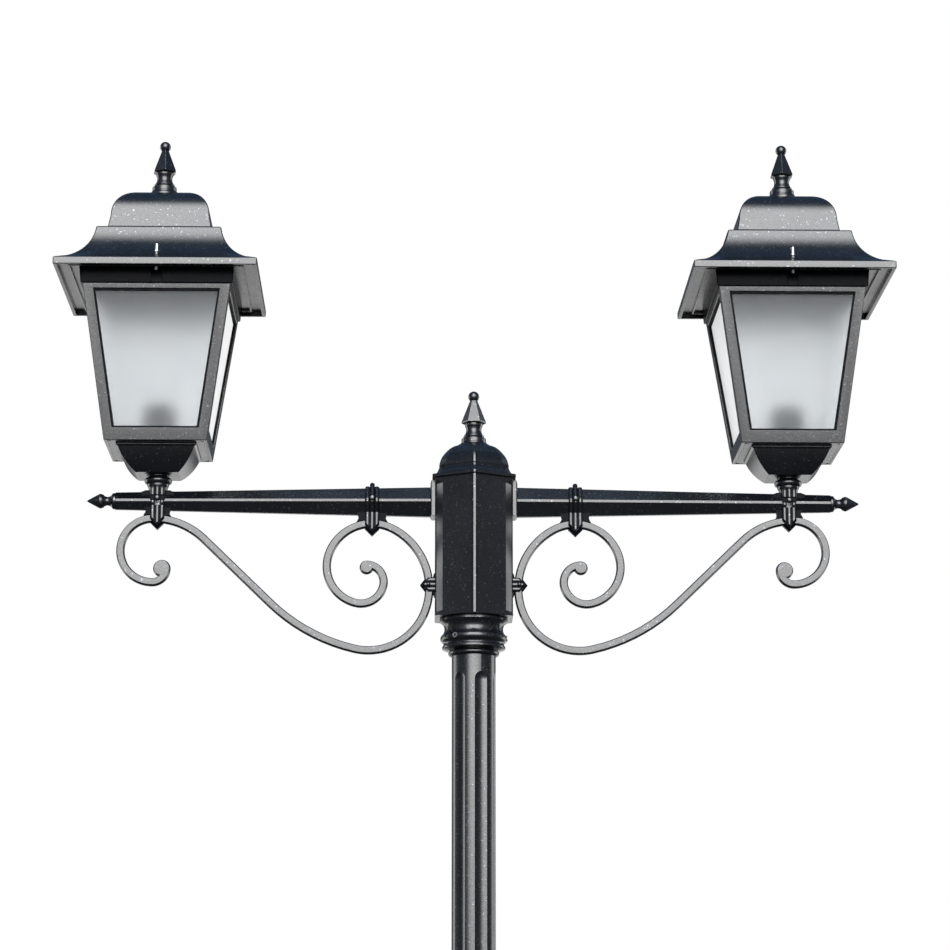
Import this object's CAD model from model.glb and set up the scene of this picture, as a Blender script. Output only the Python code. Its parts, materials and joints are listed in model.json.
"""Two-lantern street lamp: finished castings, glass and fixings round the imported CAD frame."""
import json
from math import asin, atan2, ceil, cos, degrees, hypot, pi, radians, sin, sqrt, tan

import bmesh
import bpy
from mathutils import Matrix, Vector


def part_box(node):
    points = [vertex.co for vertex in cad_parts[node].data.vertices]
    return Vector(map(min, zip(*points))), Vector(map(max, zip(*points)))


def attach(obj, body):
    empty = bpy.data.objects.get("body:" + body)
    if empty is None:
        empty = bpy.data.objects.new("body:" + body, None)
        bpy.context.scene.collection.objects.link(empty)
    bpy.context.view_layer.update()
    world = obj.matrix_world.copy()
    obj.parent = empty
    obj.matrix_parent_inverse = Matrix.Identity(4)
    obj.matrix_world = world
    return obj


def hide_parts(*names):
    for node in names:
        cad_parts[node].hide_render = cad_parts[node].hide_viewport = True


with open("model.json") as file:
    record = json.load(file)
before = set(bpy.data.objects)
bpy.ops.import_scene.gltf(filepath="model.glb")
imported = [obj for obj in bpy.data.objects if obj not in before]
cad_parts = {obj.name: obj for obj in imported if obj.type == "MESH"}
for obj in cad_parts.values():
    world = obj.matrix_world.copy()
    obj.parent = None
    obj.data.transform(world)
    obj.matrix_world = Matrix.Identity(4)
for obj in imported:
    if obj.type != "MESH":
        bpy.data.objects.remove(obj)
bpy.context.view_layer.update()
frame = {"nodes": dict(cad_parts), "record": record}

MM = 0.001
MERGE = 2e-6                             # vertices closer than this, in metres, are one
TINY = 0.02                              # smallest radius, so that no ring closes to a point
SIDES = (("left", -1), ("right", 1))


def centre(node, axis):
    low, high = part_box(node)
    return (low[axis] + high[axis]) / 2 / MM


ARM_Z = centre("arm_cables", 2)          # height of the arms' ridge line
LANTERN_X = centre("roof_right", 0)      # lantern axis from the post's axis


# ---------------------------------------------------------------- outlines, in millimetres

def arc(cx, cz, r, a0, a1, n):
    """Points on an arc about (cx, cz) from angle a0 to a1, in degrees."""
    turns = [radians(a0 + (a1 - a0) * i / n) for i in range(n + 1)]
    return [(cx + r * cos(b), cz + r * sin(b)) for b in turns]


def circle(r, steps, cx=0.0, cy=0.0):
    """Points round (cx, cy) at radius r."""
    return [(cx + r * cos(2 * pi * j / steps), cy + r * sin(2 * pi * j / steps))
            for j in range(steps)]


def rounded(points, n=3, closed=False):
    """The outline with every corner that gives a third number, a radius, rounded in n steps."""
    share = 0.46                          # most of an edge that one corner may use
    out = []
    count = len(points)
    for i, p in enumerate(points):
        r = p[2] if len(p) > 2 else 0
        if r <= 0 or (not closed and i in (0, count - 1)):
            out.append((p[0], p[1]))
            continue
        a, b = points[i - 1], points[(i + 1) % count]
        ux, uz = a[0] - p[0], a[1] - p[1]
        vx, vz = b[0] - p[0], b[1] - p[1]
        lu, lv = hypot(ux, uz), hypot(vx, vz)
        ux, uz, vx, vz = ux / lu, uz / lu, vx / lv, vz / lv
        half = atan2(abs(ux * vz - uz * vx), ux * vx + uz * vz) / 2
        t = min(r / max(tan(half), 1e-6), share * lu, share * lv)
        for k in range(n + 1):
            s = k / n
            w0, w1, w2 = (1 - s) ** 2, 2 * s * (1 - s), s * s
            x = w0 * (p[0] + t * ux) + w1 * p[0] + w2 * (p[0] + t * vx)
            z = w0 * (p[1] + t * uz) + w1 * p[1] + w2 * (p[1] + t * vz)
            out.append((x, z))
    return out


def polygon_ring(a, z, n, fillet, steps, turn=0.0):
    """Plan of a regular n-gon of apothem a at height z, its corners rounded."""
    pts = []
    half = pi / n
    r = min(fillet, 0.9 * a)
    rc = (a - r) / cos(half)
    for k in range(n):
        phi = radians(turn) + half + 2 * pi * k / n
        for j in range(steps + 1):
            b = phi - half + 2 * half * j / steps
            pts.append((rc * cos(phi) + r * cos(b), rc * sin(phi) + r * sin(b), z))
    return pts


# ---------------------------------------------------------------- solids

class Shape:
    """Closed solids gathered into one mesh."""

    def __init__(self):
        self.verts, self.faces, self.slots = [], [], []

    def add(self, verts, faces, slot=0):
        base = len(self.verts)
        self.verts += verts
        self.faces += [tuple(base + i for i in f) for f in faces]
        self.slots += [slot] * len(faces)

    def loft(self, rings, closed=False, slot=0):
        """Skin over rings of equal length; the ends are capped unless the rings close on themselves."""
        n, m = len(rings[0]), len(rings)
        faces = []
        for i in range(m if closed else m - 1):
            a, b = i * n, (i + 1) % m * n
            faces += [(a + j, a + (j + 1) % n, b + (j + 1) % n, b + j) for j in range(n)]
        if not closed:
            faces += [tuple(range(n - 1, -1, -1)), tuple(range((m - 1) * n, m * n))]
        self.add([p for r in rings for p in r], faces, slot)

    def lathe(self, outline, steps, axis=(0, 0), slot=0):
        """Turned solid from (radius, height) points, about the upright line through axis."""
        self.loft([[(x, y, z) for x, y in circle(r, steps, *axis)] for r, z in outline], slot=slot)

    def prism(self, outline, low, high, place, slot=0):
        """Outline pushed from low to high; place turns (u, v, w) into a point."""
        self.loft([[place(u, v, w) for u, v in outline] for w in (low, high)], slot=slot)

    def box(self, x0, x1, y0, y1, z0, z1, slot=0):
        self.prism([(x0, y0), (x1, y0), (x1, y1), (x0, y1)], z0, z1, upright, slot)

    def ball(self, x, y, z, r, squash=1.0):
        """Ball of radius r, flattened front to back by squash."""
        rings = []
        for i in range(1, 12):
            b = pi * i / 12 - pi / 2
            rings.append([(x + r * cos(b) * cos(2 * pi * j / 24),
                           y + r * squash * cos(b) * sin(2 * pi * j / 24),
                           z + r * sin(b)) for j in range(24)])
        self.loft(rings)


def upright(u, v, w):
    return (u, v, w)


def along_x(u, v, w):
    return (w, u, v)


def along_y(u, v, w):
    return (u, w, v)


def mesh_of(name, shape, at, k):
    """The shape's mesh, moved to at (in millimetres); k = -1 mirrors it left to right."""
    mesh = bpy.data.meshes.new(name)
    verts = [((k * x + at[0]) * MM, (y + at[1]) * MM, (z + at[2]) * MM) for x, y, z in shape.verts]
    mesh.from_pydata(verts, [], shape.faces)
    mesh.polygons.foreach_set("material_index", shape.slots)
    return mesh


def cut_away(mesh, cutter):
    """The mesh less the cutter's solids."""
    for m in (mesh, cutter):
        bm = bmesh.new()
        bm.from_mesh(m)
        bmesh.ops.remove_doubles(bm, verts=bm.verts, dist=MERGE)
        bmesh.ops.recalc_face_normals(bm, faces=bm.faces)
        bm.to_mesh(m)
        bm.free()
    a, b = bpy.data.objects.new("cut_from", mesh), bpy.data.objects.new("cutter", cutter)
    for o in (a, b):
        bpy.context.scene.collection.objects.link(o)
    m = a.modifiers.new("cut", "BOOLEAN")
    m.operation, m.solver, m.object, m.use_self = "DIFFERENCE", "EXACT", b, True
    out = bpy.data.meshes.new_from_object(a.evaluated_get(bpy.context.evaluated_depsgraph_get()))
    for o in (a, b):
        bpy.data.objects.remove(o)
    return out


def piece(name, shape, body, nodes, materials, slot, at=(0, 0, 0), mirror=False, bevel=0.0,
          limit=24, sharp=50, cut=None):
    """Makes the mesh object, bevels its edges sharper than limit degrees, and hangs it on its CAD
    body in place of the CAD nodes."""
    k = -1 if mirror else 1
    mesh = mesh_of(name, shape, at, k)
    if cut is not None:
        mesh = cut_away(mesh, mesh_of("cutter", cut, at, k))
        mesh.name = name
    bm = bmesh.new()
    bm.from_mesh(mesh)
    bmesh.ops.remove_doubles(bm, verts=bm.verts, dist=MERGE)
    bmesh.ops.dissolve_degenerate(bm, dist=1e-6, edges=bm.edges)
    bmesh.ops.recalc_face_normals(bm, faces=bm.faces)
    if bevel > 0:
        edges = [e for e in bm.edges if len(e.link_faces) == 2 and degrees(e.calc_face_angle(0)) > limit]
        bmesh.ops.bevel(bm, geom=edges, offset=bevel * MM, offset_type="OFFSET", segments=2,
                        profile=0.5, affect="EDGES", clamp_overlap=True)
    bm.to_mesh(mesh)
    bm.free()
    mesh.polygons.foreach_set("use_smooth", [True] * len(mesh.polygons))
    mesh.set_sharp_from_angle(angle=radians(sharp))
    obj = bpy.data.objects.new(name, mesh)
    bpy.context.scene.collection.objects.link(obj)
    for m in materials:
        mesh.materials.append(m)
    soft = obj.modifiers.new("even shading", "WEIGHTED_NORMAL")
    soft.keep_sharp = True
    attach(obj, body)
    if nodes:
        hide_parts(*nodes)
    return obj


def shade(obj, at, inside):
    """Gives the second material to the faces whose centres pass the test, in distances from the axis."""
    for face in obj.data.polygons:
        x, y, z = (face.center[i] / MM - at[i] for i in range(3))
        if inside(abs(x), abs(y), z):
            face.material_index = 1


# ---------------------------------------------------------------- materials

class Nodes:
    """Small helper for building a material's node tree."""

    def __init__(self, name):
        self.material = bpy.data.materials.new(name)
        self.material.use_nodes = True
        self.tree = self.material.node_tree
        self.tree.nodes.clear()
        self.out = self.new("ShaderNodeOutputMaterial")
        self.coords = self.new("ShaderNodeTexCoord").outputs["Object"]

    def new(self, kind, **values):
        n = self.tree.nodes.new(kind)
        for key, value in values.items():
            if hasattr(n, key):
                setattr(n, key, value)
            else:
                n.inputs[key.replace("_", " ")].default_value = value
        return n

    def link(self, a, b):
        self.tree.links.new(a, b)

    def noise(self, scale, detail=3.0, rough=0.5, stretch=(1, 1, 1)):
        m = self.new("ShaderNodeMapping")
        m.inputs["Scale"].default_value = stretch
        self.link(self.coords, m.inputs["Vector"])
        n = self.new("ShaderNodeTexNoise", Scale=scale, Detail=detail, Roughness=rough)
        self.link(m.outputs["Vector"], n.inputs["Vector"])
        return n.outputs["Fac"]

    def spots(self, scale):
        """A random value per small cell."""
        n = self.new("ShaderNodeTexVoronoi", Scale=scale)
        self.link(self.coords, n.inputs["Vector"])
        s = self.new("ShaderNodeSeparateColor")
        self.link(n.outputs["Color"], s.inputs["Color"])
        return s.outputs["Red"]

    def remap(self, value, a, b, low, high):
        n = self.new("ShaderNodeMapRange")
        n.inputs["From Min"].default_value = a
        n.inputs["From Max"].default_value = b
        n.inputs["To Min"].default_value = low
        n.inputs["To Max"].default_value = high
        self.link(value, n.inputs["Value"])
        return n.outputs["Result"]

    def maths(self, op, a, b):
        n = self.new("ShaderNodeMath", operation=op)
        for i, v in enumerate((a, b)):
            if isinstance(v, (int, float)):
                n.inputs[i].default_value = v
            else:
                self.link(v, n.inputs[i])
        return n.outputs["Value"]

    def mix(self, fac, a, b):
        """Colour between a and b, each a colour or a socket."""
        n = self.new("ShaderNodeMix", data_type="RGBA")
        self.link(fac, n.inputs["Factor"])
        for key, v in (("A", a), ("B", b)):
            sock = [s for s in n.inputs if s.name == key and s.type == "RGBA"][0]
            if isinstance(v, tuple):
                sock.default_value = (*v, 1)
            else:
                self.link(v, sock)
        return [s for s in n.outputs if s.type == "RGBA"][0]

    def bump(self, height, strength, distance, normal=None):
        n = self.new("ShaderNodeBump", Strength=strength, Distance=distance)
        self.link(height, n.inputs["Height"])
        if normal is not None:
            self.link(normal, n.inputs["Normal"])
        return n.outputs["Normal"]

    def surface(self, base, rough, normal, **values):
        """Principled shader; rough is a number or a socket."""
        n = self.new("ShaderNodeBsdfPrincipled", **values)
        self.link(base, n.inputs["Base Color"])
        if isinstance(rough, float):
            n.inputs["Roughness"].default_value = rough
        else:
            self.link(rough, n.inputs["Roughness"])
        self.link(normal, n.inputs["Normal"])
        self.link(n.outputs["BSDF"], self.out.inputs["Surface"])
        return n


def cast_paint(name, gloss=1.0, matt=0.0):
    """Anthracite powder coat on sand-cast aluminium: fine grain, soft waviness, metallic flecks."""
    m = Nodes(name)
    patch = m.remap(m.noise(14, 4), 0.35, 0.65, 0, 1)
    base = m.mix(patch, (0.0018, 0.0023, 0.0034), (0.0036, 0.0046, 0.0066))
    fleck = m.maths("MULTIPLY", m.remap(m.spots(760), 0.965, 0.992, 0, 1), gloss)
    base = m.mix(fleck, base, (0.12, 0.125, 0.14))
    grain = m.noise(900, 3, 0.65)
    rough = m.remap(grain, 0.3, 0.7, 0.20 + matt, 0.29 + matt)
    rough = m.maths("ADD", rough, m.remap(patch, 0, 1, -0.02, 0.02))
    normal = m.bump(m.noise(230, 2), 0.10, 0.0005)
    normal = m.bump(grain, 0.22, 0.0002, normal)
    n = m.surface(base, rough, normal, IOR=1.60)
    m.link(m.remap(grain, 0.35, 0.65, 0.42 * gloss, 0.64 * gloss), n.inputs["Specular IOR Level"])
    m.link(fleck, n.inputs["Metallic"])
    return m.material


def machined(name, base, rough):
    """Plated or turned metal with fine scratches and slight staining."""
    m = Nodes(name)
    stain = m.remap(m.noise(60, 4), 0.3, 0.7, 0, 1)
    colour = m.mix(stain, base, tuple(c * 0.72 for c in base))
    lines = m.noise(900, 2, 0.6, (1, 1, 9))
    normal = m.bump(lines, 0.2, 0.0002)
    m.surface(colour, m.remap(lines, 0.3, 0.7, rough - 0.08, rough + 0.12), normal, Metallic=1.0)
    return m.material


def frosted_glass(name):
    """Acid-etched glass: soft light from behind, a faint grain, and a white glare at grazing angles."""
    m = Nodes(name)
    cloud = m.remap(m.noise(22, 3), 0.3, 0.7, 0, 1)
    tint = m.mix(cloud, (0.90, 0.925, 0.94), (0.94, 0.955, 0.965))
    grain = m.noise(2600, 2)
    normal = m.bump(grain, 0.25, 0.0001)
    n = m.surface(tint, m.remap(grain, 0.3, 0.7, 0.66, 0.76), normal, Transmission_Weight=0.95, IOR=1.2)
    thin = m.new("ShaderNodeBsdfTranslucent")
    m.link(tint, thin.inputs["Color"])
    glare = m.new("ShaderNodeEmission", Strength=0.92)
    shader = n.outputs["BSDF"]
    edge = m.new("ShaderNodeLayerWeight", Blend=0.5).outputs["Facing"]
    for fac, other in ((0.12, thin), (m.remap(edge, 0.80, 0.90, 0, 0.92), glare)):
        mix = m.new("ShaderNodeMixShader")
        if isinstance(fac, float):
            mix.inputs["Fac"].default_value = fac
        else:
            m.link(fac, mix.inputs["Fac"])
        m.link(shader, mix.inputs[1])
        m.link(other.outputs[0], mix.inputs[2])
        shader = mix.outputs["Shader"]
    m.link(shader, m.out.inputs["Surface"])
    return m.material


def opal(name):
    """Thin milky bulb glass."""
    m = Nodes(name)
    cloud = m.remap(m.noise(40, 2), 0.3, 0.7, 0, 1)
    m.surface(m.mix(cloud, (0.95, 0.96, 0.96), (0.98, 0.98, 0.98)), m.remap(cloud, 0, 1, 0.22, 0.32),
              m.bump(m.noise(500), 0.05, 0.0002), Transmission_Weight=0.95, IOR=1.08)
    return m.material


def bakelite(name):
    """Black moulded resin with a faint brown swirl."""
    m = Nodes(name)
    swirl = m.remap(m.noise(60, 4), 0.4, 0.7, 0, 1)
    base = m.mix(swirl, (0.010, 0.009, 0.008), (0.022, 0.019, 0.016))
    m.surface(base, m.remap(m.noise(300), 0.3, 0.7, 0.25, 0.38), m.bump(m.noise(400, 2), 0.1, 0.0002))
    return m.material


def ceramic(name):
    """Glazed white porcelain with a few specks."""
    m = Nodes(name)
    speck = m.remap(m.spots(700), 0.97, 1.0, 0, 1)
    base = m.mix(speck, (0.74, 0.72, 0.66), (0.45, 0.42, 0.36))
    m.surface(base, m.remap(m.noise(90), 0.3, 0.7, 0.18, 0.3), m.bump(m.noise(150), 0.12, 0.0003),
              Coat_Weight=0.3)
    return m.material


def rubber(name):
    """Matt black rubber, slightly dusty."""
    base = (0.005, 0.005, 0.006)
    m = Nodes(name)
    dust = m.remap(m.noise(120, 4), 0.45, 0.75, 0, 1)
    m.surface(m.mix(dust, base, tuple(c * 2.4 for c in base)), m.remap(m.noise(800), 0.3, 0.7, 0.5, 0.7),
              m.bump(m.noise(1400, 2), 0.3, 0.0002), Specular_IOR_Level=0.06)
    return m.material


PAINT = cast_paint("dark_paint")
SHADED = cast_paint("dark_paint_recess", 0.04)             # hardly any gloss, for recesses
WORN = cast_paint("dark_paint_chamfer", 1.6, 0.15)         # rougher, for the head's chamfers
BAKELITE = bakelite("black_bakelite")
STEEL = machined("plated_steel", (0.60, 0.61, 0.63), 0.28)
BRASS = machined("brass", (0.72, 0.52, 0.22), 0.3)
NICKEL = machined("bulb_cap", (0.66, 0.65, 0.62), 0.24)
GLASS = frosted_glass("frosted_glass")
OPAL = opal("opal_bulb")
CERAMIC = ceramic("glazed_ceramic")
RUBBER = rubber("black_rubber")
SLOT_MATERIAL = {"dark_paint": PAINT, "steel_fixings": STEEL, "frosted_glass": GLASS,
                 "opal_bulb": OPAL, "black_rubber": RUBBER, "ceramic_white": CERAMIC,
                 "black_bakelite": BAKELITE, "brass": BRASS}
PAINTED = ([PAINT], "dark_paint")
RECESSED = ([PAINT, SHADED], "dark_paint")


# ---------------------------------------------------------------- lanterns, heights above the arm line

CUP_FOOT, FRAME_FOOT, FRAME_TOP = 29.2, 59.2, 236.8
FOOT_HALF, TOP_HALF = 58.5, 84.1         # half widths of the frame at its foot and its top
LEAN = (TOP_HALF - FOOT_HALF) / (FRAME_TOP - FRAME_FOOT)
WALL, STILE = 4.2, 11.5                  # thickness of the frame, width of its stiles
WINDOW = (73.4, 230.8)                   # lower and upper edge of the windows
FRIEZE_OUT, FRIEZE_IN, FRIEZE_TOP = 82.6, 78.6, 249.6
FLOOR_T, FLOOR_HOLE = 4, 23              # thickness of the frame's floor, radius of its hole
EAVE, EAVE_FOOT, SOFFIT = 115.4, 250.5, 255
FINIAL_SEAT = 370.4
SPEAR_TURN = {"left": 38, "right": 28}   # degrees each spear is screwed round
HOLDER_TOP = 110.0


def frame_half(z):
    """Half width of the frame at height z."""
    return FOOT_HALF + (z - FRAME_FOOT) * LEAN


def ridged_ring(a, z, cut, reach=5.2, flat=1.3):
    """Hexagon of apothem a with a narrow raised ridge on its front and rear corners and flats of
    depth cut on the others, which fall away towards the side faces."""
    pts = []
    size = min(1.0, a / 34)               # the ridge narrows towards the top of the dome
    reach, flat = reach * size, flat * size
    for k in range(6):
        phi = radians(30 + 60 * k)
        if k in (1, 4):
            foot = a / cos(pi / 6) - reach * tan(pi / 6)
            crest = foot + 0.9 * (reach - flat)
            spots = [(-reach, foot), (-flat, crest), (flat, crest), (reach, foot)]
        else:
            c = min(cut, 0.6 * a)
            t, r = c * tan(pi / 3), a / cos(pi / 6) - c
            e = 0.4 * t                   # the last part of the flat leans towards the side face
            spots = [(-t - e * cos(pi / 6), r - e / 2), (e - t, r), (t, r)]
            if k in (2, 5):
                spots = [(-x, y) for x, y in reversed(spots)]
        pts += [(r * cos(phi) - t * sin(phi), r * sin(phi) + t * cos(phi), z) for t, r in spots]
    return pts


def square_loft(shape, outline, fillet, steps=3):
    shape.loft([polygon_ring(max(a, TINY), z, 4, fillet, steps) for a, z in outline])


def finial_shape(foot, turn=0.0):
    """Turned foot, ring, hexagonal spear screwed round by turn degrees, and ball."""
    s = Shape()
    turned = rounded([(0, 0), (14.2, 0, 0.6), (14.2, 5.2, 1.4), (12.2, 6.4, 0.5), (11.3, 6.6, 0.3)], 3)
    turned += arc(10.4, 7.9, 1.5, -50, 85, 6) + arc(18.6, 15.4, 9.8, 212, 148, 9)
    turned += [(10.2, 22.6), (0, 22.6)]
    s.lathe([(r, foot + z) for r, z in turned], 64)
    spear = [(0, 20.6)] + arc(14, 14.4, 9.2, 137, 104, 4) + [(12.1, 23.5), (12.45, 24.1), (12.45, 24.8)]
    spear += [(12.2, 25.9), (3.9, 50.4), (3.6, 51.2), (0, 51.4)]
    s.loft([polygon_ring(max(a, TINY), foot + z, 6, 0.7, 2, 30 + turn) for a, z in spear])
    ball_r, ball_z = 6.4, foot + 55.4
    s.lathe([(max(ball_r * sin(pi * i / 16), 0.01), ball_z - ball_r * cos(pi * i / 16))
             for i in range(17)], 40)
    return s


def roof_outline(t):
    """Cove, ledge and dome of the roof, moved inwards by t, from the eaves up."""
    pts = arc(129, 315.4, 58 + t, -118, -171.5, 14)
    pts += rounded([(71.8 - t, 306.4 - t), (70.9 - t, 307.8 - t, 0.9), (59.5 - t, 311.2 - t, 1.2),
                    (56.8 - t, 326.5)], 3)
    return pts + arc(21.3, 326.5, 35.5 - t, 2, 90, 16) + [(0, 364.6 - t)]


def build_roof(side, k):
    s = Shape()
    edge = rounded([(101.8, 264.2), (114.0, 259.3, 1.2), (EAVE, 258.2, 0.9), (EAVE, EAVE_FOOT, 0.9),
                    (111, EAVE_FOOT, 0.5), (111, SOFFIT, 0.4), (99.5, SOFFIT, 0.4),
                    (99.5, 252.5, 0.5), (97.5, 252.5, 0.5), (97.5, SOFFIT, 0.4),
                    (88.0, SOFFIT, 0.4), (86.5, FRAME_TOP, 0.7), (83, FRAME_TOP, 0.3), (83, 258),
                    (78, 266)], 2)
    inside = [p for p in roof_outline(3.2) if p[0] < 76]
    square_loft(s, list(reversed(roof_outline(0))) + edge[1:] + inside, 1.5)
    for t in (-1, 1):
        s.lathe(rounded([(0, 254), (4.5, 254), (4.5, 270, 0.6), (0, 270.4)], 2), 24, (0, t * 92))
    s.lathe(rounded([(0, 350), (17, 350), (17, 367.4, 1.2), (15.4, 368.6, 0.6), (15, FINIAL_SEAT, 0.4),
                     (0, FINIAL_SEAT)], 3), 56)
    lug_ways = Shape()                    # ways for the frame's lugs
    for t in (-1, 1):
        lug_ways.box(-6.4, 6.4, *sorted((t * 70, t * 97.4)), 230, 260.4)
    at = (k * LANTERN_X, 0, ARM_Z)
    obj = piece("roof_shell_" + side, s, "roof_body_" + side, ["roof_" + side], *RECESSED, at,
                cut=lug_ways)
    shade(obj, at, lambda x, y, z: 236 < z < 255.5 and max(x, y) < 89)      # the inner skirt
    f = finial_shape(FINIAL_SEAT, SPEAR_TURN[side])
    f.lathe(rounded([(0, 352), (4, 352, 0.4), (4, FINIAL_SEAT + 2), (0, FINIAL_SEAT + 2)], 2), 24)
    piece("roof_spear_" + side, f, "roof_body_" + side, ["roof_finial_" + side], *PAINTED, at)


def build_frame(side, k):
    s = Shape()
    z0, z1 = FRAME_FOOT, FRAME_TOP
    verts, faces = [], []

    def ring(a, z):
        base = len(verts)
        verts.extend([(-a, -a, z), (a, -a, z), (a, a, z), (-a, a, z)])
        return [base + i for i in range(4)]

    def windows(inset):
        out = []
        for i in range(4):
            c, d = cos(pi / 2 * i), sin(pi / 2 * i)
            base = len(verts)
            for z, sx in ((WINDOW[0], -1), (WINDOW[0], 1), (WINDOW[1], 1), (WINDOW[1], -1)):
                x, y = sx * (frame_half(z) - STILE), -(frame_half(z) - inset)
                verts.append((x * c - y * d, x * d + y * c, z))
            out.append([base + j for j in range(4)])
        return out

    out0, out1 = ring(frame_half(z0), z0), ring(frame_half(z1), z1)
    in0, in1 = ring(frame_half(z0) - WALL, z0), ring(frame_half(z1) - WALL, z1)
    tops = [out1, ring(FRIEZE_OUT, z1), ring(FRIEZE_OUT, FRIEZE_TOP), ring(FRIEZE_IN, FRIEZE_TOP), in1]
    win_out, win_in = windows(0), windows(WALL)
    for i in range(4):
        j = (i + 1) % 4
        for (b, t, w) in ((out0, out1, win_out[i]), (in0, in1, win_in[i])):
            faces += [(b[i], b[j], w[1], w[0]), (b[j], t[j], w[2], w[1]), (t[j], t[i], w[3], w[2]),
                      (t[i], b[i], w[0], w[3])]
        for m in range(4):
            n = (m + 1) % 4
            faces.append((win_out[i][m], win_out[i][n], win_in[i][n], win_in[i][m]))
        faces.append((out0[i], out0[j], in0[j], in0[i]))
        for lower, upper in zip(tops, tops[1:]):
            faces.append((lower[i], lower[j], upper[j], upper[i]))
    s.add(verts, faces)
    steps = 64                            # floor plate with its round hole
    square, hole = [], []
    half = frame_half(z0) - WALL + 0.3
    for j in range(steps):
        b = 2 * pi * (j + 0.5) / steps
        reach = half / max(abs(cos(b)), abs(sin(b)))
        square.append((reach * cos(b), reach * sin(b)))
        hole.append((FLOOR_HOLE * cos(b), FLOOR_HOLE * sin(b)))
    low, high = z0 + 0.1, z0 + FLOOR_T
    s.loft([[(x, y, z) for x, y in plan]
            for plan, z in ((square, low), (square, high), (hole, high), (hole, low))], closed=True)
    for t in (-1, 1):                     # tongue and lug for the roof screw
        s.box(-6.3, 6.3, *sorted((t * 80, t * 86.9)), z1 + 0.1, 259)
        s.box(-6, 6, *sorted((t * 80, t * 97)), SOFFIT, 260)
    at = (k * LANTERN_X, 0, ARM_Z)
    obj = piece("lantern_frame_" + side, s, "lantern_" + side, ["frame_" + side], *RECESSED, at,
                bevel=0.7)
    shade(obj, at, lambda x, y, z: z > 237)                     # the frieze, inside the roof


def build_lantern_foot(side, k):
    at = (k * LANTERN_X, 0, ARM_Z)
    s = Shape()
    profile = rounded([(0, CUP_FOOT), (24.5, CUP_FOOT, 0.9), (26, 31)], 3)[:-1]
    profile += arc(-15.9, 78.8, 64, -49.5, -22.4, 10)
    profile += rounded([(43.3, 54.3), (43.7, 55.6, 0.5), (46, 57.4, 0.9), (46, FRAME_FOOT, 0.4),
                        (0, FRAME_FOOT)], 3)[1:]
    square_loft(s, profile, 1.6, 4)
    piece("lantern_cup_" + side, s, "lantern_" + side, ["cup_" + side], *PAINTED, at)

    s = Shape()
    outline = [(0, 12), (10.8, 12)] + arc(16.4, 13.2, 5.6, 180, 135, 6)
    outline += arc(11.7, 23.4, 4.1, -80, 80, 12)
    outline += rounded([(12.3, 27.7, 0.3), (12.9, 28.4, 0.4), (13, CUP_FOOT), (0, CUP_FOOT)], 2)
    s.lathe(outline, 64)
    piece("lantern_stem_" + side, s, "lantern_" + side, ["stem_" + side], *PAINTED, at)

    s = Shape()
    top = HOLDER_TOP
    outline = rounded([(0, 46), (15, 46, 1.5), (15, 57, 2), (18, 59, 2), (18, 65.6, 0.5),
                       (20, 66.2, 0.8), (20, top - 3.4, 1.2), (18.1, top - 2, 0.8),
                       (17.9, top, 0.8), (13.9, top, 0.5)], 4)
    threads = [(13.9 - 0.5 * (i % 2), top - 1.5 - 1.75 * i) for i in range(13)]
    s.lathe(outline + threads + [(13.6, top - 26), (0, top - 26)], 64)
    piece("lamp_socket_" + side, s, "lantern_" + side, ["lampholder_" + side], [BAKELITE],
          "black_bakelite", at)

    s = Shape()
    cap = [(0, top - 23), (5, top - 23), (8, top - 19)]
    cap += [(12.4 + 0.7 * (i % 2), top - 17 + 1.7 * i) for i in range(12)]
    cap += [(13, top + 3.6), (0, top + 3.6)]
    s.lathe(rounded([(r, z, 0.3) for r, z in cap], 1), 56, slot=1)
    neck = [(13.6, top + 3.5), (14.4, top + 6, 3), (20, top + 23, 8), (24.3, top + 28.4)]
    globe = [(0, top + 2.8), (13.4, top + 2.8)] + rounded(neck, 5)[1:-1]
    s.lathe(globe + arc(0, top + 46, 30, -36, 89.5, 22) + [(0, top + 76)], 64)
    piece("lamp_bulb_" + side, s, "bulb_body_" + side, ["bulb_" + side], [OPAL, NICKEL], "opal_bulb", at)


# ---------------------------------------------------------------- head

HEAD_A, HEAD_LOW, HEAD_TOP = 44.5, -136.0, 24.5
HEAD_TIE_Z = -97.0
CAP_TOP = 69.8


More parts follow.
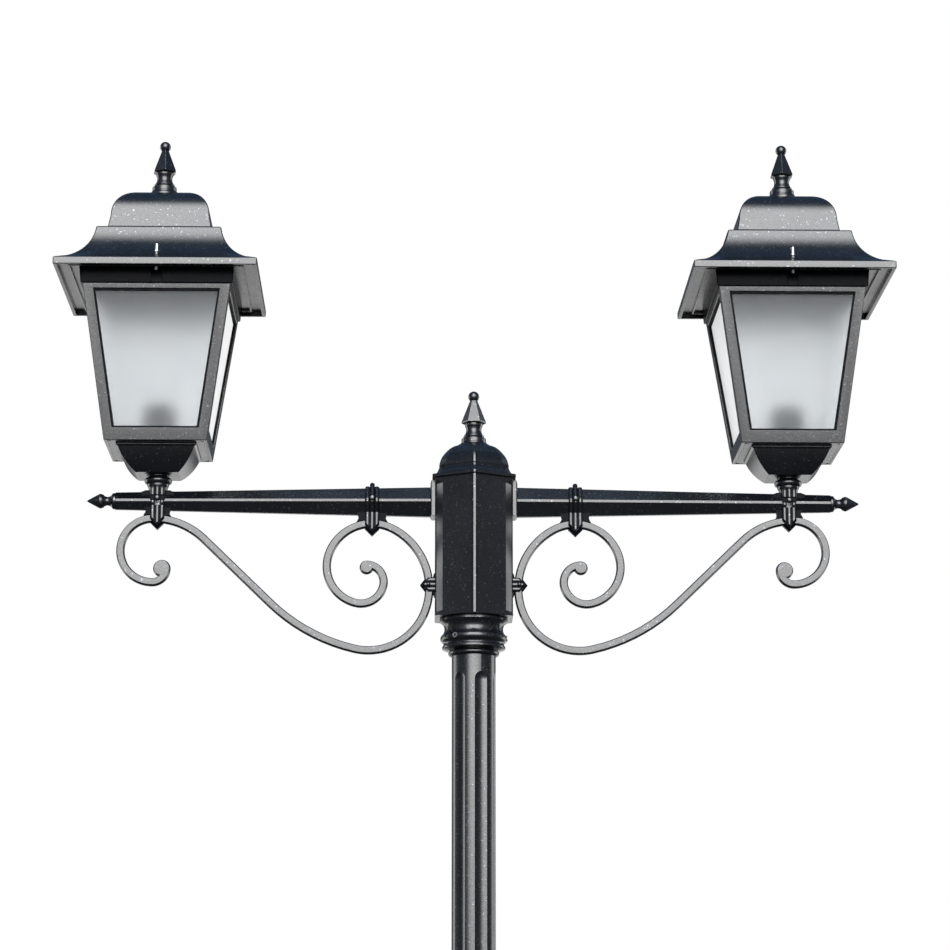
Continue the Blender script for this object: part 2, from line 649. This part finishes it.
def build_head():
    at = (0, 0, ARM_Z)
    s = Shape()
    deep, slight = 4.9, 0.12              # depth of the chamfers, and of a corner left sharp
    stop = 5.6                            # length over which a chamfer runs out
    rim = HEAD_TOP - 1.5                  # where the chamfers end

    def cut(z):
        ramp = max(0.0, min((z - HEAD_LOW) / stop, (rim - z) / stop, 1.0))
        return slight + (deep - slight) * ramp

    levels = [HEAD_LOW, HEAD_LOW + stop] + [HEAD_LOW + 20 * i for i in range(1, 7)]
    levels += [rim - stop, rim, HEAD_TOP]
    s.loft([ridged_ring(HEAD_A, z, cut(z)) for z in levels])
    obj = piece("head_body", s, "head", ["head_casting"], [PAINT, WORN], "dark_paint", at,
                bevel=0.45, limit=12)
    shade(obj, at, lambda x, y, z: 34.5 < x < 43.6 and y > 12)              # the chamfers

    s = Shape()
    profile = rounded([(0, HEAD_TOP), (47.8, HEAD_TOP, 0.5), (47.8, 27.9, 0.9), (46.6, 28.4, 0.5),
                       (46.2, 28.6)], 3)
    profile += arc(54.6, 40.4, 14.6, -124, -167, 7)
    profile += rounded([(40.2, 37.2), (39.7, 38.0, 0.5), (40, 39)], 2)[1:-1]
    profile += arc(12, 38, 28, 2, 88, 16) + [(4, 66.1), (0, 66.1)]

    def cap_cuts(a, z):
        """Depth of the flats on the cap's side corners."""
        depth = slight                    # on the flange
        if z > 38:                        # on the dome
            depth = 4.2 * min(1.0, (z - 38) / 4.0) * min(1.0, max(0.0, (66.0 - z)) / 9.0)
        elif z > 28.2:                    # on the cove
            depth = 3.8
        return max(0.1, min(depth, 0.35 * a))

    s.loft([ridged_ring(max(a, 0.05), z, cap_cuts(a, z), 3.4, 1.1) for a, z in profile])
    s.lathe(rounded([(0, 58), (22, 60), (21.4, 64.8, 1), (17.6, 67.6, 1.6), (15.4, 68.4, 0.6),
                     (15.2, CAP_TOP, 0.4), (0, CAP_TOP)], 4), 64)
    piece("head_dome", s, "head", ["head_cap"], *PAINTED, at, bevel=0.35, limit=16)

    piece("head_spear", finial_shape(CAP_TOP), "head", ["head_finial"], *PAINTED, at)

    s = Shape()
    outline = rounded([(0, HEAD_LOW), (38.8, HEAD_LOW, 0.8), (38.8, -139.6, 0.8), (38.0, -140.4)], 3)
    outline += arc(43.9, -148.4, 10.4, 128, 226, 12) + arc(33.0, -159.2, 5.2, 58, -64, 12)
    outline += [(34.4, -165.4)] + rounded([(34.6, -166.4), (36.1, -168.8, 0.9), (36.1, -171.0, 0.7),
                                           (30, -172.6, 1.2), (27.6, -173.4)], 3)
    outline += arc(26.2, -176.2, 2.9, 60, -85, 8)
    outline += [(25.7, -179.4), (25.15, -179.4), (25.15, -142.2), (0, -142.2)]
    s.lathe(outline, 96)
    piece("head_ring", s, "head", ["head_collar"], *PAINTED, at)


# ---------------------------------------------------------------- arms

ARM_X0, ARM_X1, TIP_X = 49.5, 411.5, 444.0
ROOT_H, ROOT_D, END_H = 34.4, 28, 20      # height and depth at the root, height at the end
CREST = 0.24                              # flat top of the section, as part of its depth


def arm_hh(x):
    """Half height of the arm."""
    return (ROOT_H + (END_H - ROOT_H) * (x - ARM_X0) / (ARM_X1 - ARM_X0)) / 2


def arm_hd(x):
    """Half depth of the arm, front to back."""
    return arm_hh(x) * ROOT_D / ROOT_H


def arm_ring(x):
    hd, hh = arm_hd(x), arm_hh(x)
    c = hd * CREST
    section = [(hd, -1.4, 0.4), (hd, 1.4, 0.4), (c, hh, 0.8), (-c, hh, 0.8), (-hd, 1.4, 0.4),
               (-hd, -1.4, 0.4), (-c, -hh, 0.8), (c, -hh, 0.8)]
    return [(x, y, z) for y, z in rounded(section, 2, closed=True)]


def turned_x(shape, outline):
    """Turned solid about the arm's axis from (distance, radius) points."""
    shape.loft([[(x, y, z) for y, z in circle(max(r, TINY), 48)] for x, r in outline])


# bends of the scroll bar from its outer end: radius and turn in degrees, or length and no turn
BENDS = [(16, 90), (37, 90), (37, 90), (84, 44), (107, 0), (205, -31), (69, -84), (78, -81), (52, -100),
         (44, -93), (26, -97), (20, -97)]
BAR_W, BAR_D = 9.6, 12.0
SLANT = 1.4                               # how far the bar's sides lean in at front and back
OUTER_BLOB, INNER_BLOB = 10.0, 8.0


def bend_centre(p, b):
    """Centre of the bend b that starts at p, which is (x, z, heading in degrees)."""
    k = 1 if b[1] > 0 else -1
    return (p[0] - k * b[0] * sin(radians(p[2])), p[1] + k * b[0] * cos(radians(p[2])))


def along(p, b, f):
    """Place and heading after the part f of the bend b that starts at p."""
    if b[1] == 0:
        return (p[0] + f * b[0] * cos(radians(p[2])), p[1] + f * b[0] * sin(radians(p[2])), p[2])
    c, h, k = bend_centre(p, b), p[2] + f * b[1], 1 if b[1] > 0 else -1
    return (c[0] + k * b[0] * sin(radians(h)), c[1] - k * b[0] * cos(radians(h)), h)


def scroll_poses():
    poses, starts = [], []
    p = (LANTERN_X - 11.4, -78.4, -90.0)
    for b in BENDS:
        starts.append(p)
        n = max(2, ceil(abs(b[1]) / 3.5)) if b[1] else 10
        poses += [along(p, b, i / n) for i in range(n)]
        p = along(p, b, 1)
    return poses + [p], starts


POSES, STARTS = scroll_poses()
MID_C, MID_R = bend_centre(STARTS[8], BENDS[8]), BENDS[8][0] + BAR_W / 2
OUT_C, OUT_R = bend_centre(STARTS[3], BENDS[3]), BENDS[3][0] + BAR_W / 2


def saddle(shape, cx, cz, r, half, middle):
    """Pad between the arm and the bend under it, with hollow ends."""
    outline = []
    for i in range(13):
        x = middle - half + 2 * half * i / 12
        outline.append((x, cz + sqrt(max(r * r - (x - cx) ** 2, 0)) - 0.4))
    x1, z1 = outline[-1]
    z2 = -arm_hh(x1) + 3
    outline += [(x1 - 2.4 * sin(pi * t / 6), z1 + (z2 - z1) * t / 6) for t in range(1, 7)]
    x0, z0 = outline[0]
    z2 = -arm_hh(x0) + 3
    outline += [(x0 + 2.4 * sin(pi * t / 6), z0 + (z2 - z0) * t / 6) for t in range(6, 0, -1)]
    shape.prism(outline, -BAR_D / 2 + 0.9, BAR_D / 2 - 0.9, along_y, slot=1)


def build_arm(side, k):
    at, mirror = (0, 0, ARM_Z), k < 0
    s = Shape()
    s.loft([arm_ring(ARM_X0 - 1 + (ARM_X1 + 1 - ARM_X0) * i / 24) for i in range(25)])
    tip = rounded([(ARM_X1 - 0.4, 0), (ARM_X1 - 0.4, 9.2, 0.6), (ARM_X1 + 2.2, 9.5, 0.8),
                   (ARM_X1 + 4, 7.2)], 3)[:-1]
    tip += arc(ARM_X1 + 9, 10.9, 5.9, 200, 325, 10)
    tip += rounded([(ARM_X1 + 15.6, 8.2), (ARM_X1 + 17.8, 8.6, 1.4), (ARM_X1 + 20.2, 7.4, 1.6),
                    (ARM_X1 + 31.2, 1.4, 0.8), (TIP_X, 0.5, 0.3), (TIP_X, 0)], 3)
    turned_x(s, tip)
    saddle(s, MID_C[0], MID_C[1], MID_R, 18, MID_C[0])
    saddle(s, OUT_C[0], OUT_C[1], OUT_R, 16, LANTERN_X)
    s.lathe([(0, -6), (9.5, -6), (9.6, 6), (10.6, 9), (10.8, 12), (0, 12)], 56, (LANTERN_X, 0))
    flare = [(LANTERN_X - 18.5, 6)] + arc(LANTERN_X - 18.5, 17.6, 7.0, -90, -53, 5)
    flare += [(LANTERN_X - 12.6, 12)]
    flare += [(2 * LANTERN_X - x, z) for x, z in reversed(flare)]
    s.prism(flare, -5.6, 5.6, along_y, slot=1)
    piece("arm_bar_" + side, s, "head", ["arm_" + side], *RECESSED, at, mirror)

    s = Shape()
    rings = []
    for x, inset in ((0.0, 0.0), (3.4, 0.0), (4.6, 0.7), (5.4, 2.4)):
        y, low, high = 15.5 - inset * 0.6, inset - 18.1, 23.9 - inset * 2
        rings.append([(HEAD_A + x, y * t, z) for t, z in ((-1, low), (1, low), (1, high), (-1, high))])
    s.loft(rings)
    piece("arm_plate_" + side, s, "head", [], *PAINTED, at, mirror, bevel=0.3)


def bar_section():
    """Section of the scroll bar, across the bend and front to back: flat faces, slanting sides."""
    w, d = BAR_W / 2, BAR_D / 2
    return rounded([(w - SLANT, -d, 0.5), (w, -1, 0.6), (w, 1, 0.6), (w - SLANT, d, 0.5),
                    (SLANT - w, d, 0.5), (-w, 1, 0.6), (-w, -1, 0.6), (SLANT - w, -d, 0.5)],
                   2, closed=True)


def build_scroll(side, k):
    s = Shape()
    rings = []
    for x, z, h in POSES:
        c, d = cos(radians(h)), sin(radians(h))
        rings.append([(x - u * d, y, z + u * c) for u, y in bar_section()])
    s.loft(rings)
    x, z, _ = POSES[0]
    blobs = [(x + OUTER_BLOB - BAR_W / 2, z, OUTER_BLOB)]
    x, z, _ = POSES[-1]
    blobs.append((x, z - INNER_BLOB + BAR_W / 2, INNER_BLOB))
    for cx, cz, r in blobs:
        d = BAR_D / 2 + 0.04
        outline = rounded([(0, -d), (r - SLANT, -d, 0.5), (r, -1, 0.6), (r, 1, 0.6), (r - SLANT, d, 0.5),
                           (0, d)], 3)
        s.loft([[(x, y, z) for x, z in circle(max(q, TINY), 40, cx, cz)] for q, y in outline])
    piece("scroll_bar_" + side, s, "head", ["scroll_" + side], *PAINTED, (0, 0, ARM_Z), k < 0)


# ---------------------------------------------------------------- ties

REED, REED_PITCH, REED_SINK = 5.6, 5.3, 2.3
REED_RISE = 3.0                           # how far the reeds end above the point
TIE_HALF = 8.3                            # half width of a tie
TIE_OVER = 2.7                            # how far a tie stands proud of the scroll bar
MID_FOOT, MID_CROWN = -40, 22.8
OUTER_FOOT, OUTER_TOP, OUTER_FRONT = -33.3, 17.2, 13.6


def reed(shape, outline, middle, place):
    """A rounded reed: the outline pushed across, drawn in towards both sides."""
    rings = []
    for i in range(-6, 7):
        u = sin(pi / 2 * i / 6)
        g = REED_SINK * (sqrt(max(1 - u * u, 0)) - 1)
        w = middle + u * REED / 2
        rings.append([place(a, b, w) for a, b in rounded(outline(g, w), 3, closed=True)])
    shape.loft(rings)


def band(shape, outline, middle, place):
    """The band behind the reeds, as wide as the tie and pointed where its outline says."""
    shape.loft([[place(a, b, middle + u) for a, b in rounded(outline(-2.4, middle + u), 2, closed=True)]
                for u in (-TIE_HALF, -TIE_HALF + 0.6, 0, TIE_HALF - 0.6, TIE_HALF)], slot=1)


def closed_pair(half):
    """Half outline joined with its mirror image."""
    return half + [(-p[0], *p[1:]) for p in reversed(half)]


def mid_outline(foot, top, hd, hh, x0):
    """Outline of the middle tie round the arm and the bar, grown by g, at x along the arm."""
    def make(g, x):
        q, fd = 2.4 + g, BAR_D / 2 + TIE_OVER + g
        low = foot + abs(x - x0)          # the foot comes to a point seen from the front
        return closed_pair([(1.2, top + g, 1.0), (hd * CREST + q + 0.4, hh + 0.6 + q * 0.5, 2),
                            (hd + q, 2.0, 1.5), (hd + q, -2.0, 1.5), (fd, -hh + 3, 2),
                            (fd, low + 4, 1.5), (fd - 3, low, 1.0)])
    return make


def split_outer(foot, top):
    """The outer tie's reed is one band below the arm and a tongue in front of and behind the stem."""
    def under(g, x):
        fd = BAR_D / 2 + TIE_OVER + g
        low = foot + abs(x - LANTERN_X)
        return closed_pair([(9.9 + g, 2.0, 0.8), (9.9 + g, -3.0, 0.8), (fd, -6.0, 0.8),
                            (fd, low + 4, 1.5), (fd - 3, low, 1.0)])

    def tongue(sign):
        front, back = OUTER_FRONT, OUTER_FRONT - 2.2
        return lambda g, x: [(sign * back, 4.6), (sign * (front + g), 5.4, 0.8),
                             (sign * (front + g), top - 3, 1.5),
                             (sign * (front - 1.1 + g * 0.3), top + g, 1.0),
                             (sign * back, top + g * 0.6)]
    return under, tongue(-1), tongue(1)


def head_outline(back):
    """Outline of the head tie round the bar, seen from above, grown by g and pointed in the middle."""
    def make(g, z):
        d = BAR_D / 2 + TIE_OVER + g
        tip = HEAD_A + 17 - back - 0.77 * abs(z - HEAD_TIE_Z)
        return [(HEAD_A - 1, -d), (tip - 3, -d, 1), (tip, 3 - d, 1), (tip, d - 3, 1),
                (tip - 3, d, 1), (HEAD_A - 1, d)]
    return make


def tie_piece(which, shape, side, k):
    """One of a pair of ties; the left one takes the place of the CAD's pair."""
    piece(which + "_tie_" + side, shape, "head", [which + "_ties"] if k < 0 else [], *RECESSED,
          (0, 0, ARM_Z), k < 0)


def build_ties():
    for side, k in SIDES:
        s = Shape()
        x = MID_C[0]
        hd, hh = arm_hd(x), arm_hh(x)
        for i in (-1, 0, 1):
            crown = MID_CROWN - 4.6 * abs(i)
            reed(s, mid_outline(MID_FOOT + REED_RISE, crown, hd, hh, x), x + i * REED_PITCH, along_x)
        band(s, mid_outline(MID_FOOT, 18.5, hd, hh, x), x, along_x)
        for t in (-1, 1):
            s.ball(x, t * (hd + 3.2), 2.2, 3.3, 0.45)
        tie_piece("middle", s, side, k)

        s = Shape()
        x = LANTERN_X
        for i in (-1, 0, 1):
            for part in split_outer(OUTER_FOOT + REED_RISE, OUTER_TOP - 1.2 * abs(i)):
                reed(s, part, x + i * REED_PITCH, along_x)
        band(s, split_outer(OUTER_FOOT, OUTER_TOP)[0], x, along_x)
        for t in (-1, 1):
            s.box(x - TIE_HALF, x + TIE_HALF, *sorted((t * 11.2, t * 11.7)), 0, 15.4, slot=1)
            s.ball(x, t * 12.6, 2.2, 3.3, 0.5)
        tie_piece("outer", s, side, k)

        s = Shape()
        for i in (-1, 0, 1):
            reed(s, head_outline(2), HEAD_TIE_Z + i * REED_PITCH, upright)
        band(s, head_outline(0), HEAD_TIE_Z, upright)
        wedge = [(HEAD_A - 0.5, 14), (HEAD_A + 1.2, 13), (HEAD_A + 2.8, 7)]
        wedge += [(x, -z) for x, z in reversed(wedge)]
        s.prism([(x, HEAD_TIE_Z + z) for x, z in wedge], 1 - BAR_D / 2, BAR_D / 2 - 1, along_y, slot=1)
        for t in (-1, 1):
            s.ball(52, t * (BAR_D / 2 + 2.6), HEAD_TIE_Z, 2.6)
        tie_piece("head", s, side, k)


# ---------------------------------------------------------------- post

SHAFT_R, FLUTE_HALF, FLUTE_R = 25.0, 7.3, 17.35
FLUTE_TURN = 18.5                         # degrees from the front to the middle of a flute
FLUTE_FOOT, FLUTE_TOP = 358.0, ARM_Z - 199.0
RUN_OUT = 9.0                             # length over which a flute rounds off at its ends


def build_post():
    low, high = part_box("fluted_post")
    z0, z1 = low.z / MM, high.z / MM

    def ring(z):
        inside = min(z - FLUTE_FOOT, FLUTE_TOP - z)
        width = TINY
        if inside > 0:
            t = max(0.0, 1 - inside / RUN_OUT)
            width = max(FLUTE_HALF * sqrt(1 - t * t), TINY)
        edge = asin(width / SHAFT_R)
        d = sqrt(FLUTE_R ** 2 - width ** 2) + sqrt(SHAFT_R ** 2 - width ** 2)
        pts = []
        for f in range(6):
            mid = radians(-90 + FLUTE_TURN + 60 * f)
            for j in range(-6, 6):
                a = edge * j / 6
                r = d * cos(a) - sqrt(max(FLUTE_R ** 2 - (d * sin(a)) ** 2, 0))
                pts.append((min(r, SHAFT_R) * cos(mid + a), min(r, SHAFT_R) * sin(mid + a), z))
            gap = 2 * pi / 6 - 2 * edge
            for j in range(6):
                a = mid + edge + gap * j / 6
                pts.append((SHAFT_R * cos(a), SHAFT_R * sin(a), z))
        return pts

    foot, top, run = FLUTE_FOOT, FLUTE_TOP, RUN_OUT
    levels = [z0, foot - 1] + [foot + run * (1 - cos(pi / 2 * i / 8)) for i in range(9)]
    levels += [foot + run + (top - foot - 2 * run) * i / 12 for i in range(1, 12)]
    levels += [top - run * (1 - cos(pi / 2 * i / 8)) for i in range(8, -1, -1)] + [top + 1, z1]
    s = Shape()
    s.loft([ring(z) for z in levels])
    piece("post_tube", s, "post", ["fluted_post"], *PAINTED, sharp=34)


build_head()
build_ties()
build_post()
for side, k in SIDES:
    build_roof(side, k)
    build_frame(side, k)
    build_lantern_foot(side, k)
    build_arm(side, k)
    build_scroll(side, k)

# CAD nodes that stay on show get their own finish and softened edges
slots = {s["node"]: s["material_slot"] for s in frame["record"]["subparts"]}
for node, obj in frame["nodes"].items():
    obj.data.materials.clear()
    obj.data.materials.append(SLOT_MATERIAL[slots[node]])
    weld = obj.modifiers.new("weld", "WELD")
    weld.merge_threshold = 1e-5
    soft = obj.modifiers.new("soft edges", "BEVEL")
    soft.width = 0.0004 if slots[node] != "dark_paint" else 0.0008
    soft.segments = 2
    soft.limit_method = "ANGLE"
    soft.angle_limit = radians(35)
    soft.harden_normals = True

# ---------------------------------------------------------------- studio


def build_world():
    """White backdrop, seen straight or through glass. For light and reflections: a soft source in
    front, dark sides, a bright backdrop behind, and a dim bluish ceiling."""
    world = bpy.data.worlds.new("studio")
    bpy.context.scene.world = world
    world.use_nodes = True
    t = world.node_tree
    t.nodes.clear()

    def node(kind, **kw):
        n = t.nodes.new(kind)
        for key, v in kw.items():
            setattr(n, key, v)
        return n

    def maths(op, a, b=0.0):
        n = node("ShaderNodeMath", operation=op)
        for i, v in enumerate((a, b)):
            if isinstance(v, (int, float)):
                n.inputs[i].default_value = v
            else:
                t.links.new(v, n.inputs[i])
        return n.outputs[0]

    def ramp(value, stops):
        n = node("ShaderNodeValToRGB")
        r = n.color_ramp
        while len(r.elements) < len(stops):
            r.elements.new(0.5)
        for e, (pos, v) in zip(r.elements, stops):
            e.position = pos
            e.color = (*v, 1) if isinstance(v, tuple) else (v, v, v, 1)
        t.links.new(value, n.inputs["Fac"])
        return n.outputs["Color"]

    coords = node("ShaderNodeTexCoord").outputs["Generated"]
    sep = node("ShaderNodeSeparateXYZ")
    t.links.new(coords, sep.inputs[0])
    x, y, z = sep.outputs[0], sep.outputs[1], sep.outputs[2]
    az = maths("ARCTAN2", maths("ABSOLUTE", x), maths("MULTIPLY", y, -1.0))
    azf = maths("DIVIDE", az, pi)         # 0 in front, 1 behind
    el = maths("DIVIDE", maths("ADD", maths("ARCSINE", z), pi / 2), pi)     # 0 down, 1 up
    front_az = ramp(azf, [(0.0, 1.0), (0.10, 0.95), (0.20, 0.03), (0.5, 0.0)])
    front_el = ramp(el, [(0.38, 0.0), (0.475, 0.13), (0.55, 1.0), (0.60, 1.0), (0.77, 0.95), (0.83, 0.54),
                         (0.88, 0.13), (0.925, 0.0)])
    back_az = ramp(azf, [(0.57, 0.02), (0.62, 1.0), (0.70, 1.0), (0.77, 0.02)])
    low_az = ramp(azf, [(0.60, 0.0), (0.75, 1.0)])
    low_el = ramp(el, [(0.38, 0.0), (0.41, 1.0), (0.48, 1.0), (0.51, 0.0)])
    back_el = ramp(el, [(0.36, 0.1), (0.46, 1.0), (0.60, 1.0), (0.67, 0.04)])
    sky = ramp(el, [(0.0, (0.02, 0.02, 0.02)), (0.5, (0.04, 0.04, 0.045)), (0.80, (0.05, 0.09, 0.16)),
                    (0.945, (0.04, 0.085, 0.155)), (1.0, (0.10, 0.22, 0.40))])

    def vector(op, a, b):
        n = node("ShaderNodeVectorMath", operation=op)
        t.links.new(a, n.inputs[0])
        if isinstance(b, float):
            n.inputs["Scale"].default_value = b
        else:
            t.links.new(b, n.inputs[1])
        return n.outputs[0]

    front = vector("SCALE", vector("MULTIPLY", front_az, front_el), 8.9)
    back = vector("SCALE", vector("MULTIPLY", back_az, back_el), 2.9)
    low = vector("SCALE", vector("MULTIPLY", low_az, low_el), 1.3)
    light = vector("ADD", vector("ADD", front, back), vector("ADD", low, vector("SCALE", sky, 1.5)))
    lit = node("ShaderNodeBackground")
    t.links.new(light, lit.inputs["Color"])
    seen = node("ShaderNodeBackground")
    seen.inputs["Color"].default_value = (1, 1, 1, 1)
    seen.inputs["Strength"].default_value = 1.0
    mix = node("ShaderNodeMixShader")
    path = node("ShaderNodeLightPath").outputs
    t.links.new(maths("MAXIMUM", path["Is Camera Ray"], path["Is Transmission Ray"]), mix.inputs[0])
    t.links.new(lit.outputs[0], mix.inputs[1])
    t.links.new(seen.outputs[0], mix.inputs[2])
    t.links.new(mix.outputs[0], node("ShaderNodeOutputWorld").inputs["Surface"])


def build_floor():
    m = Nodes("pale_floor")
    patch = m.remap(m.noise(3, 4), 0.3, 0.7, 0, 1)
    pale = m.mix(patch, (0.80, 0.80, 0.79), (0.84, 0.84, 0.83))
    seen = m.new("ShaderNodeLightPath").outputs["Is Camera Ray"]
    m.surface(m.mix(seen, (0.05, 0.05, 0.05), pale), 0.75, m.bump(m.noise(300), 0.1, 0.0005))
    s = Shape()
    s.loft([[(x, y, z) for x, y in circle(6000, 96)] for z in (-40, -0.5)])
    mesh = mesh_of("studio_floor", s, (0, 0, 0), 1)
    obj = bpy.data.objects.new("studio_floor", mesh)
    bpy.context.scene.collection.objects.link(obj)
    mesh.materials.append(m.material)


def build_camera():
    """The photograph's viewpoint: in front of the post, looking up."""
    cam = bpy.data.cameras.new("camera")
    cam.sensor_width = 36.0
    cam.lens = 120.7
    obj = bpy.data.objects.new("camera", cam)
    bpy.context.scene.collection.objects.link(obj)
    obj.location = (-0.070, -3.590, ARM_Z * MM - 0.7437)
    obj.rotation_euler = (radians(90 + 12.2), 0, radians(-1.14))
    bpy.context.scene.camera = obj


build_world()
build_floor()
build_camera()
bpy.context.scene.view_settings.view_transform = "Standard"
